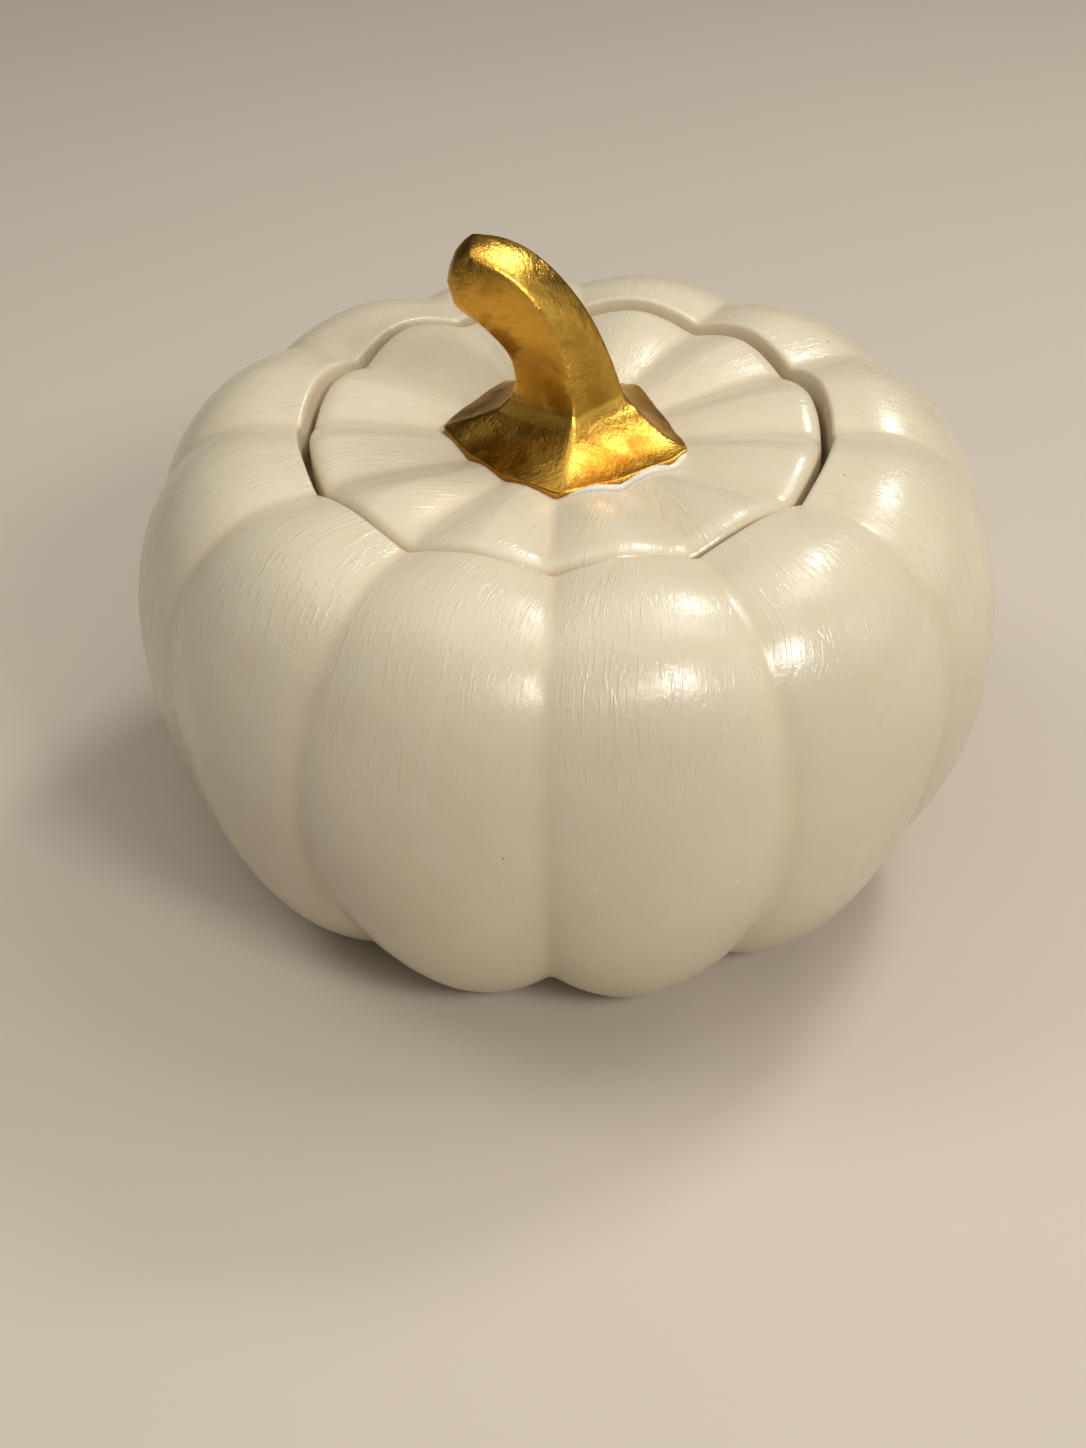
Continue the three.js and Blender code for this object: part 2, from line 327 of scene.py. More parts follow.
def groove_share(azimuth, softness):
    """0 on a lobe's crest, 1 at the bottom of a groove, with the crease a little rounded."""
    lobes = (azimuth - math.radians(FIRST_GROOVE_DEG)) * LOBES / (2 * math.pi)
    from_groove = 1 - np.abs(2 * (lobes - np.floor(lobes)) - 1)
    soft = np.sqrt(from_groove**2 + softness**2) - softness
    return np.clip(1 - soft, 0, 1) ** 2


def bowl_outline(sizes):
    """The bowl's section from the middle of its base, up outside, into the recess and down inside. With it
    comes each point's bareness of paint, which in the recess and on its seat also stands for painted shade."""
    belly, middle = sizes.belly_radius / MM, sizes.belly_height / MM
    rim, foot = sizes.rim_height / MM, sizes.foot_radius / MM
    mouth, edge = sizes.mouth_radius / MM, sizes.rim_rounding / MM
    at_rim, at_belly, at_foot = 3.0, 1.5, 4.4  # depths of the grooves
    seat, shoulder_r, ledge, ledge_r, floor_z = 40.0, 53.0, 79.0, 41.5, 6.0
    ledge_under = ledge - 4
    recess_taper = 1.0
    hollow_r, hollow_z, hollow_top, hollow_top_r, floor_r = 73.5, 48, 82, 52, 43

    def under_groove(r):
        """How far a groove lifts the underside at a radius."""
        return 0.9 * at_foot * ((r - seat) / (foot - seat)) ** 2

    under = np.array([(r, 0.0, 0.0, under_groove(r)) for r in (44, 47, 50, 52.5)])
    lower = with_grooves(
        quarter_arch((foot, middle), (belly - foot, -middle), FOOT_ARCH, 36)[::-1],
        lambda way: at_belly + (at_foot - at_belly) * np.sin(way * math.pi / 2),
    )
    upper = with_grooves(
        quarter_arch((shoulder_r, middle), (belly - shoulder_r, rim - middle), SHOULDER_ARCH, 40)[1:],
        lambda way: at_belly + (at_rim - at_belly) * (1 - np.cos(way * math.pi / 2)),
    )
    flat = plain(line((shoulder_r, rim), (mouth + edge, rim), 4)[:-1])
    flat[:, 3] = -at_rim
    lip = quarter_arch((mouth + edge, rim - edge), (-edge, edge), ROUND, 5)[::-1]
    lip = np.column_stack([lip[:, :2], np.zeros(len(lip)), np.full(len(lip), -at_rim)])
    recess = plain(line((mouth, rim - edge), (mouth - recess_taper, ledge + 0.6), 8))
    recess[:, 3] = -at_rim * np.linspace(0.85, 0, len(recess))
    seat_ring = plain([
        (mouth - recess_taper - 0.6, ledge),
        (45, ledge),
        (ledge_r + 0.5, ledge),
        (ledge_r, ledge - 0.5),
    ])
    top_size = (hollow_r - hollow_top_r, hollow_top - hollow_z)
    foot_size = (hollow_r - floor_r, floor_z - hollow_z)
    wall_top = quarter_arch((hollow_top_r, hollow_z), top_size, SHOULDER_ARCH, 20)[::-1]
    wall_foot = quarter_arch((floor_r, hollow_z), foot_size, HOLLOW_ARCH, 24)[1:]
    inside = plain(
        np.vstack([
            [(ledge_r, ledge_under + 0.5), (ledge_r + 0.5, ledge_under)],
            [(48, ledge_under), (51, ledge_under + 0.4)],
            wall_top[:, :2],
            wall_foot[:, :2],
            [(30, floor_z), (15, floor_z), (0, floor_z)],
        ])
    )
    base = plain([(0, 0), (12, 0), (24, 0), (34, 0), (seat, 0)])
    # the recess and its seat are tinted partly for thin paint and partly as painted shade
    parts = [(base, 1), (under, 1), (lower, 0), (upper, 0), (flat, 0), (lip, 0.1)]
    parts += [(recess, 0.45), (seat_ring, 0.6), (inside, 1)]
    bareness_and_shade = np.concatenate([np.full(len(points), bareness) for points, bareness in parts])
    return np.vstack([points for points, _ in parts]), bareness_and_shade


def groove_leans(azimuth_deg):
    """How many degrees the grooves wander at the rim and at the belly."""
    known = np.array(GROOVE_LEANS)
    ends = np.vstack([known[-1] - (360, 0, 0), known, known[0] + (360, 0, 0)])
    wrapped = (azimuth_deg + 180) % 360 - 180
    return np.interp(wrapped, ends[:, 0], ends[:, 1]), np.interp(wrapped, ends[:, 0], ends[:, 2])


def lid_reach(azimuth_deg):
    """How much further out the lid's edge stands in a direction. One lobe nearly touches the recess."""
    away = (azimuth_deg - LONG_LOBE_DEG + 180) % 360 - 180
    return LONG_LOBE * np.cos(np.clip(away / LONG_LOBE_HALF_DEG, -1, 1) * math.pi / 2) ** LONG_LOBE_POWER


def lid_rise(r):
    """How far the lid has risen from its middle, 0, to its highest ring, 1."""
    return ((1 - np.cos(math.pi * np.minimum(r / LID_RISE_RADIUS, 1))) / 2) ** LID_RISE_POWER


def above_lid(x, y, groove):
    """A height over the lid's middle that rises as its top does, less groove(direction) times its grooves."""
    turned = np.arctan2(y, x) - math.radians(LID_TURN_DEG)
    return LID_MIDDLE_Z + (LID_RISE - LID_GROOVE * groove(turned)) * lid_rise(np.hypot(x, y))


def lid_top(x, y):
    """Height of the lid's top, in millimetres."""
    return above_lid(x, y, lambda turned: groove_share(turned, LID_SOFTNESS))


def root_seat(x, y):
    """Height that the stem's root is cut to: the lid's top with most of its flutes evened out."""
    return above_lid(x, y, lambda turned: ROOT_CUT + ROOT_FLUTE * groove_share(turned, ROOT_SOFTNESS))


def lid_outline(sizes):
    """The lid's section from the middle of its underside to the middle of its top. With it comes each point's
    bareness of paint, which on the lid's side and the lower half of its edge also stands for painted shade."""
    radius, roll, drop = sizes.lid_radius / MM, sizes.lid_roll / MM, sizes.lid_drop / MM
    groove = sizes.lid_groove / MM
    bottom, dish, rest = 79.3, 1.5, 38.0
    crown_z = LID_MIDDLE_Z + LID_RISE
    side_bareness_and_shade = 0.6  # bareness of the side and of the edge's lower half, partly painted shade where light doesn't reach
    under = plain([
        (0, bottom + dish),
        (18, bottom + dish),
        (rest - dish - 0.4, bottom + dish),
        (rest - dish, bottom + dish - 0.2),
        (rest, bottom),
        (radius - 1, bottom),
        (radius - 0.3, bottom + 0.3),
        (radius, bottom + 1),
    ])
    side = plain(line((radius, bottom + 1), (radius, crown_z - drop), 8)[:-1])
    side[:, 3] = -groove * np.linspace(0.05, 0.9, len(side))
    edge = quarter_arch((radius - roll, crown_z - drop), (roll, drop), ROUND, 16)[:, :2]
    edge = np.column_stack([edge, np.zeros(len(edge)), np.full(len(edge), -groove)])
    r = np.concatenate([np.linspace(radius - roll, 2, 44)[1:], [0]])
    rise = lid_rise(r)
    top = np.column_stack([r, LID_MIDDLE_Z + LID_RISE * rise, np.zeros(len(r)), -groove * rise])
    edge_bareness_and_shade = np.clip(side_bareness_and_shade * (1 - np.linspace(0, 1.7, len(edge))), 0, 1)
    bareness_and_shade = np.concatenate([np.ones(len(under)), np.full(len(side), side_bareness_and_shade), edge_bareness_and_shade, np.zeros(len(top))])
    return np.vstack([under, side, edge, top]), bareness_and_shade


# Meshes


def put_mesh(name, vertices, faces, values):
    """A smooth mesh object with float attributes on its points. vertices are in millimetres."""
    mesh = bpy.data.meshes.new(name)
    mesh.from_pydata((np.asarray(vertices) * MM).tolist(), [], faces)
    for key, row in values.items():
        mesh.attributes.new(key, "FLOAT", "POINT").data.foreach_set("value", np.asarray(row, np.float32))
    mesh.shade_smooth()
    mesh.validate()
    piece = bpy.data.objects.new(name, mesh)
    bpy.context.collection.objects.link(piece)
    return piece


def ring_faces(rings, columns):
    """Quads between rings of points, with the first and the last ring closed to a point each."""
    faces = []
    last = 1 + (rings - 2) * columns
    for j in range(columns):
        k = (j + 1) % columns
        faces.append((0, 1 + k, 1 + j))
        faces.append((last, last - columns + j, last - columns + k))
    for i in range(rings - 3):
        start = 1 + i * columns
        for j in range(columns):
            k = (j + 1) % columns
            faces.append((start + j, start + k, start + columns + k, start + columns + j))
    return faces


def ring_values(rows, columns):
    """One value a point from one value a ring."""
    rows = np.asarray(rows, float)
    return np.concatenate([rows[:1], np.repeat(rows[1:-1], columns), rows[-1:]])


def turn_lobes(name, outline, bareness_and_shade, softness, unevenness, turn_deg=0.0, wandering=False, reach=None):
    """Turns an outline into a lobed body, with the small unevenness of a hand-finished casting. Its grooves
    can wander, and reach gives how much further out the edge stands, by its direction in degrees."""
    columns = LOBES * STEPS_PER_LOBE
    outline_r, outline_z, shift_r, shift_z = (outline[:, i : i + 1] for i in range(4))
    azimuth = math.radians(FIRST_GROOVE_DEG) + np.arange(columns) * 2 * math.pi / columns
    depth = groove_share(azimuth, softness)
    azimuth = azimuth + math.radians(turn_deg)
    if wandering:
        at_rim, at_belly = groove_leans(np.degrees(azimuth))
        height = np.clip(outline_z / LEAN_HEIGHT, 0, 1)
        azimuth = azimuth + np.radians(at_belly * np.sin(math.pi * height) ** 1.5 + at_rim * height**4)
    r = outline_r + shift_r * depth
    z = outline_z + shift_z * depth
    if reach:
        further = reach(np.degrees(azimuth)) * ramp(outline_r, *LONG_LOBE_RADII)
        r = r + further
        z = z + LONG_LOBE_LIFT * further * ramp(outline_z, *LONG_LOBE_HEIGHTS)
    creased = np.abs(shift_r) > 0.1
    r = r - CREASE_PINCH * depth**3 * creased
    grid = np.stack([r * np.cos(azimuth), r * np.sin(azimuth), z], axis=-1)
    points = np.vstack([grid[0, :1], grid[1:-1].reshape(-1, 3), grid[-1, :1]])
    from_axis = np.hypot(points[:, 0], points[:, 1])
    for i, point in enumerate(points):
        if point[2] > 1 and from_axis[i] > 5:
            points[i, :2] *= 1 + unevenness * waves(point, BODY_WAVES) / from_axis[i]
    run = np.concatenate([[0], np.cumsum(np.linalg.norm(np.diff(outline[:, :2], axis=0), axis=1))])
    values = {
        "run": ring_values(run * MM, columns),
        "bareness_and_shade": ring_values(bareness_and_shade, columns),
        "crease": np.concatenate([[0], np.tile(depth, len(outline) - 2), [0]]),
    }
    return put_mesh(name, points, ring_faces(len(outline), columns), values)


def stem_centre_line(steps=400):
    """Points and tangents along the stem's centre line, evenly spaced, by centripetal Catmull-Rom."""
    knots = np.array(STEM_AXIS, float)
    knots = np.vstack([2 * knots[0] - knots[1], knots, 2 * knots[-1] - knots[-2]])
    curve = []
    for p0, p1, p2, p3 in zip(knots, knots[1:], knots[2:], knots[3:]):
        d0, d1, d2 = (math.sqrt(np.linalg.norm(b - a)) for a, b in ((p0, p1), (p1, p2), (p2, p3)))
        leave = ((p1 - p0) / d0 - (p2 - p0) / (d0 + d1) + (p2 - p1) / d1) * d1
        arrive = ((p2 - p1) / d1 - (p3 - p1) / (d1 + d2) + (p3 - p2) / d2) * d1
        t = np.linspace(0, 1, 80, endpoint=False)[:, None]
        curve.append(
            (2 * t**3 - 3 * t**2 + 1) * p1
            + (t**3 - 2 * t**2 + t) * leave
            + (3 * t**2 - 2 * t**3) * p2
            + (t**3 - t**2) * arrive
        )
    curve = np.vstack([*curve, knots[-2:-1]])
    far = np.concatenate([[0], np.cumsum(np.linalg.norm(np.diff(curve, axis=0), axis=1))])
    even = np.linspace(0, far[-1], steps + 1)
    points = np.column_stack([np.interp(even, far, curve[:, i]) for i in range(3)])
    tangents = np.gradient(points, axis=0)
    return points, tangents / np.linalg.norm(tangents, axis=1, keepdims=True)


def stem_rings():
    """Sections of the stem at close steps, smoothed: rows as in STEM_SECTIONS."""
    table = np.array(STEM_SECTIONS, float)
    root, shaft, tip = np.linspace(0, 0.2, 36), np.linspace(0.2, 0.95, 76), np.linspace(0.95, 1, 12)
    at = np.concatenate([root, shaft[1:], tip[1:]])
    rows = np.column_stack([at] + [np.interp(at, table[:, 0], column) for column in table.T[1:]])
    for _ in range(STEM_SMOOTHINGS):
        rows[1:-1, 1:] = (rows[:-2, 1:] + 2 * rows[1:-1, 1:] + rows[2:, 1:]) / 4
    return rows


def stem_skin(size, swell, twist, follow):
    """One ring of offsets from the axis, and how near each is to the middle of its face."""
    ring, middle = [], []
    for i, (deg, r, root_swell) in enumerate(STEM_RIDGES):
        next_deg, next_r, _ = STEM_RIDGES[(i + 1) % len(STEM_RIDGES)]
        ends = [(math.radians(deg + twist), r), (math.radians(next_deg + twist), next_r)]
        start, end = (np.array([radius * math.cos(a), radius * math.sin(a)]) for a, radius in ends)
        for step in range(STEM_STEPS_PER_FACE):
            way = step / STEM_STEPS_PER_FACE
            mid = 4 * way * (1 - way)
            ring.append((start * (1 - way) + end * way) * size * (1 + (swell + root_swell * follow) * mid))
            middle.append(mid)
    sharp, middle = smooth_ring(np.array(ring), 1), np.array(middle)
    return smooth_ring(sharp, 2) * (1 - follow) + sharp * follow, middle


def smooth_ring(ring, times):
    for _ in range(times):
        ring = (np.roll(ring, 1, axis=0) + 2 * ring + np.roll(ring, -1, axis=0)) / 4
    return ring


def roughened(points, centre, amount):
    """Points moved a little to and from a centre, in millimetres, as in a cast that was never smoothed."""
    moved = points.copy()
    for i, point in enumerate(points):
        outward = point - centre
        moved[i] += outward / max(np.linalg.norm(outward), 1e-6) * amount * waves(point, STEM_WAVES)
    return moved


def stem_points(edge):
    """Rings of points from the root's edge on the lid to the tip. With each ring come how near its points are
    to the middle of their faces, and its share of the way to the tip."""
    centres, tangents = stem_centre_line()
    evenly = np.linspace(0, 1, len(centres))
    back = np.array([0.0, 1.0, 0.0])
    rings, middles, ways = [], [], []
    for at, size, swell, twist, follow in stem_rings():
        centre = np.array([np.interp(at, evenly, column) for column in centres.T])
        along = np.array([np.interp(at, evenly, column) for column in tangents.T])
        across = np.cross(back, along)
        skin, middle = stem_skin(size, swell, twist, follow)
        points = centre + skin[:, :1] * across + skin[:, 1:] * back
        points = roughened(points, centre, SHAFT_ROUGHNESS + ROOT_ROUGHNESS * follow)
        height = edge * (0.5 + 0.5 * middle)
        lift = root_seat(points[:, 0], points[:, 1]) + height + ROOT_CLEARANCE - STEM_AXIS[0][2]
        points[:, 2] += follow * lift
        rings.append(points)
        middles.append(middle)
        ways.append(at)
    return rings, middles, ways


def bead_points(edge, width):
    """An uneven bead along an edge of the root, thinner at its ends: a point, its rings, and a point."""
    rings = []
    for i, (x, y, _) in enumerate(edge):
        r = math.hypot(x, y)
        out = np.array([x / r, y / r, 0.0])
        lump = 0.5 + waves((x, y, 3.0), [(0.5, 0.5)]) + waves((x, y, 9.0), [(1.6, 0.25)])
        ends = min(1.0, i / 7, (len(edge) - 1 - i) / 3)
        size = max(0.05, width * ends * (0.45 + 0.75 * lump))
        half = 0.7 * size
        centre = np.array([x, y, 0.0]) + out * (size * 0.25)
        centre[2] = lid_top(centre[0], centre[1]) + size * 0.25
        turns = np.arange(BEAD_SIDES)[:, None] * 2 * math.pi / BEAD_SIDES
        rings.append(centre + out * half * np.cos(turns) + np.array([0, 0, half]) * np.sin(turns))
    return np.vstack([rings[0].mean(axis=0), *rings, rings[-1].mean(axis=0)])


# Node helpers


class Tree:
    """A short way to add nodes and link them."""

    def __init__(self, tree):
        self.tree = tree

    def add(self, kind, inputs=(), **settings):
        """A node of that kind. inputs maps socket names or numbers to values or to other nodes' outputs."""
        node = self.tree.nodes.new(kind)
        for key, value in settings.items():
            setattr(node, key, value)
        for key, value in dict(inputs).items():
            if isinstance(value, bpy.types.NodeSocket):
                self.tree.links.new(value, node.inputs[key])
            else:
                node.inputs[key].default_value = value
        return node

    def math(self, operation, first, second=0.0, third=0.0, clamp=False):
        inputs = {0: first, 1: second, 2: third}
        return self.add("ShaderNodeMath", inputs, operation=operation, use_clamp=clamp).outputs[0]

    def spread(self, value, low, high, to_low=0.0, to_high=1.0):
        """value taken from the range low to high on to the range to_low to to_high, smoothly."""
        inputs = {"Value": value, "From Min": low, "From Max": high, "To Min": to_low, "To Max": to_high}
        return self.add("ShaderNodeMapRange", inputs, interpolation_type="SMOOTHSTEP").outputs[0]

    def mix(self, amount, first, second):
        """Colours mixed by amount."""
        node = self.add("ShaderNodeMix", {0: amount}, data_type="RGBA")
        for socket, value in ((node.inputs[6], first), (node.inputs[7], second)):
            if isinstance(value, bpy.types.NodeSocket):
                self.tree.links.new(value, socket)
            else:
                socket.default_value = (*value, 1)
        return node.outputs[2]

    def vector(self, operation, first, second=(0.0, 0.0, 0.0)):
        return self.add("ShaderNodeVectorMath", {0: first, 1: second}, operation=operation).outputs[0]

    def noise(self, vector, scale, detail=2.0, roughness=0.5):
        inputs = {"Vector": vector, "Scale": scale, "Detail": detail, "Roughness": roughness}
        return self.add("ShaderNodeTexNoise", inputs).outputs["Fac"]

    def stretched(self, vector, factors):
        return self.vector("MULTIPLY", vector, factors)

    def attribute(self, name):
        return self.add("ShaderNodeAttribute", attribute_name=name).outputs["Fac"]

    def place(self):
        return self.add("ShaderNodeTexCoord").outputs["Object"]


def new_group(name, inputs, outputs):
    """An empty node group: (group, tree helper, its input sockets by name, its output node)."""
    group = bpy.data.node_groups.new(name, "ShaderNodeTree")
    for key, kind, value in inputs:
        socket = group.interface.new_socket(name=key, in_out="INPUT", socket_type=kind)
        if value is not None:
            socket.default_value = value
    for key, kind in outputs:
        group.interface.new_socket(name=key, in_out="OUTPUT", socket_type=kind)
    tree = Tree(group)
    entry = tree.add("NodeGroupInput")
    return group, tree, {s.name: s for s in entry.outputs if s.name}, tree.add("NodeGroupOutput")


def shared_group(name, make):
    """The node group of that name, made once."""
    return bpy.data.node_groups.get(name) or make(name)


FLOAT, VECTOR = "NodeSocketFloat", "NodeSocketVector"


def make_brush_strokes(name):
    """What a brush leaves along the lobes: scattered raised lines, faint hairs, and laps of the brush."""
    group, tree, given, out = new_group(
        name,
        [("Place", VECTOR, None), ("Run", FLOAT, 0.0), ("Width", FLOAT, 1.0), ("Cover", FLOAT, 0.5)],
        [("Height", FLOAT), ("Lap", FLOAT)],
    )
    sway = tree.add("ShaderNodeTexNoise", {"Vector": given["Place"], "Scale": 16.0, "Detail": 0.0})
    sway = tree.vector("SUBTRACT", sway.outputs["Color"], (0.5, 0.5, 0.5))
    bent = tree.vector("ADD", given["Place"], tree.stretched(sway, (0.030, 0.030, 0.0)))
    direction = tree.vector("NORMALIZE", tree.stretched(bent, (1, 1, 0)))
    parts = tree.add("ShaderNodeSeparateXYZ", {0: direction}).outputs

    def lines(fineness, stroke_length, detail, start):
        """Noise drawn out along the lobes. fineness counts round the jar, stroke_length is in metres."""
        fine = tree.math("DIVIDE", fineness, given["Width"])
        inputs = {
            0: tree.math("MULTIPLY_ADD", parts[0], fine, start),
            1: tree.math("MULTIPLY", parts[1], fine),
            2: tree.math("DIVIDE", given["Run"], stroke_length),
        }
        return tree.noise(tree.add("ShaderNodeCombineXYZ", inputs).outputs[0], 1.0, detail, 0.6)

    patches = tree.noise(given["Place"], 38.0, 2.0)
    few, many = (tree.math("SUBTRACT", edge, given["Cover"]) for edge in (0.83, 1.11))
    patches = tree.spread(patches, few, many, 0.45, 1.0)
    level = tree.add("ShaderNodeSeparateXYZ", {0: given["Place"]}).outputs[2]
    patches = tree.math("MULTIPLY", patches, tree.spread(level, *STROKES_START, 0.15, 1.0))
    long_lines = tree.spread(lines(*LONG_LINES), 0.59, 0.70)
    short_lines = tree.spread(lines(*SHORT_LINES), 0.62, 0.72)
    hairs = lines(*HAIRS)
    laps = tree.spread(lines(*LAPS), 0.36, 0.64)
    height = tree.math("ADD", long_lines, tree.math("MULTIPLY", short_lines, 0.7))
    height = tree.math("MULTIPLY", height, patches)
    height = tree.math("ADD", height, tree.math("MULTIPLY", hairs, 0.3))
    tree.tree.links.new(height, out.inputs["Height"])
    tree.tree.links.new(laps, out.inputs["Lap"])
    return group


def make_specks(name):
    """Scattered small dots, such as grit or pinholes: one in about every cell that chance picks."""
    group, tree, given, out = new_group(
        name,
        [("Place", VECTOR, None), ("Cell", FLOAT, 0.01), ("Size", FLOAT, 0.03), ("Rarity", FLOAT, 0.6)],
        [("Dot", FLOAT)],
    )
    scale = tree.math("DIVIDE", 1.0, given["Cell"])
    wobble = tree.add("ShaderNodeTexNoise", {"Vector": given["Place"], "Scale": 900.0, "Detail": 1.0})
    jitter = tree.stretched(wobble.outputs["Color"], (0.0005, 0.0005, 0.0005))
    moved = tree.vector("ADD", given["Place"], jitter)
    cells = tree.add("ShaderNodeTexVoronoi", {"Vector": moved, "Scale": scale})
    near = tree.math("LESS_THAN", cells.outputs["Distance"], given["Size"])
    chance = tree.add("ShaderNodeSeparateColor", {0: cells.outputs["Color"]}).outputs[0]
    picked = tree.math("GREATER_THAN", chance, given["Rarity"])
    tree.tree.links.new(tree.math("MULTIPLY", near, picked), out.inputs["Dot"])
    return group


def make_blotches(name):
    """Slow changes of tone over a surface, as in paint of uneven thickness."""
    group, tree, given, out = new_group(
        name,
        [("Place", VECTOR, None), ("Spread", FLOAT, 0.03)],
        [("Tone", FLOAT), ("Fine", FLOAT)],
    )
    scale = tree.math("DIVIDE", 1.0, given["Spread"])
    tone = tree.noise(given["Place"], scale, 3.0, 0.55)
    fine = tree.noise(given["Place"], tree.math("MULTIPLY", scale, 14.0), 2.0, 0.6)
    tree.tree.links.new(tree.spread(tone, 0.3, 0.7), out.inputs["Tone"])
    tree.tree.links.new(fine, out.inputs["Fine"])
    return group


def use_group(tree, name, make, inputs):
    """The outputs of a shared group, placed in a tree with those inputs."""
    node = tree.add("ShaderNodeGroup", node_tree=shared_group(name, make))
    for key, value in inputs.items():
        if isinstance(value, bpy.types.NodeSocket):
            tree.tree.links.new(value, node.inputs[key])
        else:
            node.inputs[key].default_value = value
    return node.outputs


# Materials


def new_material(name):
    """A node material: (material, tree helper, its surface shader)."""
    material = bpy.data.materials.new(name)
    material.use_nodes = True
    tree = Tree(material.node_tree)
    return material, tree, material.node_tree.nodes["Principled BSDF"]


def connect(tree, shader, **sockets):
    """Links outputs to the shader's inputs, named as they are but in small letters with underscores."""
    for key, socket in sockets.items():
        tree.tree.links.new(socket, shader.inputs[key.replace("_", " ").title()])


def bump(tree, height, depth, under=None):
    """A bump of that depth in metres, laid over another."""
    inputs = {"Height": height, "Distance": depth, "Strength": 1.0}
    if under is not None:
        inputs["Normal"] = under
    return tree.add("ShaderNodeBump", inputs).outputs[0]


def cream_paint(finish, name, stroke_width, cover):
    """Satin cream paint, brushed on: raised lines and brush laps, grit, thinly painted edges, and painted
    shade in the grooves, the recess and on the lid's side.
    """
    material, tree, shader = new_material(name)
    place = tree.place()
    bareness_and_shade = tree.attribute("bareness_and_shade")
    crease = tree.attribute("crease")
    inputs = {"Place": place, "Run": tree.attribute("run"), "Width": stroke_width, "Cover": cover}
    strokes = use_group(tree, "Brush strokes", make_brush_strokes, inputs)
    tone = use_group(tree, "Blotches", make_blotches, {"Place": place, "Spread": 0.035})
    grit = use_group(tree, "Specks", make_specks, {"Place": place, **GRIT})
    pits = use_group(tree, "Specks", make_specks, {"Place": place, **PAINT_PITS})

    light, dark = (tuple(c * f for c in finish.paint) for f in (1.03, 0.96))
    warm = (finish.paint[0], finish.paint[1] * 0.975, finish.paint[2] * 0.92)
    shade = tree.mix(tone["Tone"], light, dark)
    shade = tree.mix(tree.math("MULTIPLY", strokes["Lap"], 0.35), shade, warm)
    # painted shade in the bottoms of the grooves
    deep = tree.math("MULTIPLY", tree.spread(crease, 0.7, 1.0), 0.3 * finish.groove_shade)
    shade = tree.mix(deep, shade, finish.thin_paint_and_shade)
    # thin paint at sharp edges, and painted shade in the recess and on the lid's side
    thinness_and_shade = tree.math("MULTIPLY", tree.spread(bareness_and_shade, 0.0, 0.8), 0.75)
    shade = tree.mix(thinness_and_shade, shade, finish.thin_paint_and_shade)
    clay = tree.mix(tone["Fine"], tuple(c * 0.9 for c in finish.bare_clay), finish.bare_clay)
    shade = tree.mix(tree.spread(bareness_and_shade, 0.8, 1.0), shade, clay)
    shade = tree.mix(tree.math("MULTIPLY", grit["Dot"], 0.7), shade, finish.speck)

    gloss = tree.spread(tree.noise(place, 70.0, 3.0), 0.3, 0.7, *PAINT_ROUGHNESS)
    gloss = tree.math("ADD", gloss, tree.math("MULTIPLY", tone["Fine"], 0.05))
    gloss = tree.math("ADD", gloss, tree.math("MULTIPLY", tree.spread(bareness_and_shade, 0.3, 1.0), 0.42), clamp=True)

    painted = tree.math("SUBTRACT", 1.0, tree.spread(bareness_and_shade, 0.5, 1.0))
    painted = tree.math("MULTIPLY", painted, tree.spread(crease, 0.8, 0.97, 1.0, 0.35))
    ridges = tree.math("MULTIPLY", strokes["Height"], painted)
    relief = bump(tree, tone["Fine"], PAINT_DAPPLE_DEPTH)
    relief = bump(tree, tree.noise(place, 1300.0, 3.0), PAINT_GRAIN_DEPTH, relief)
    relief = bump(tree, ridges, STROKE_DEPTH * finish.strokes, relief)
    relief = bump(tree, tree.math("MULTIPLY", pits["Dot"], -1.0), PAINT_PIT_DEPTH, relief)
    connect(tree, shader, base_color=shade, roughness=gloss, normal=relief)
    shader.inputs["Specular IOR Level"].default_value = PAINT_SPECULAR
    return material


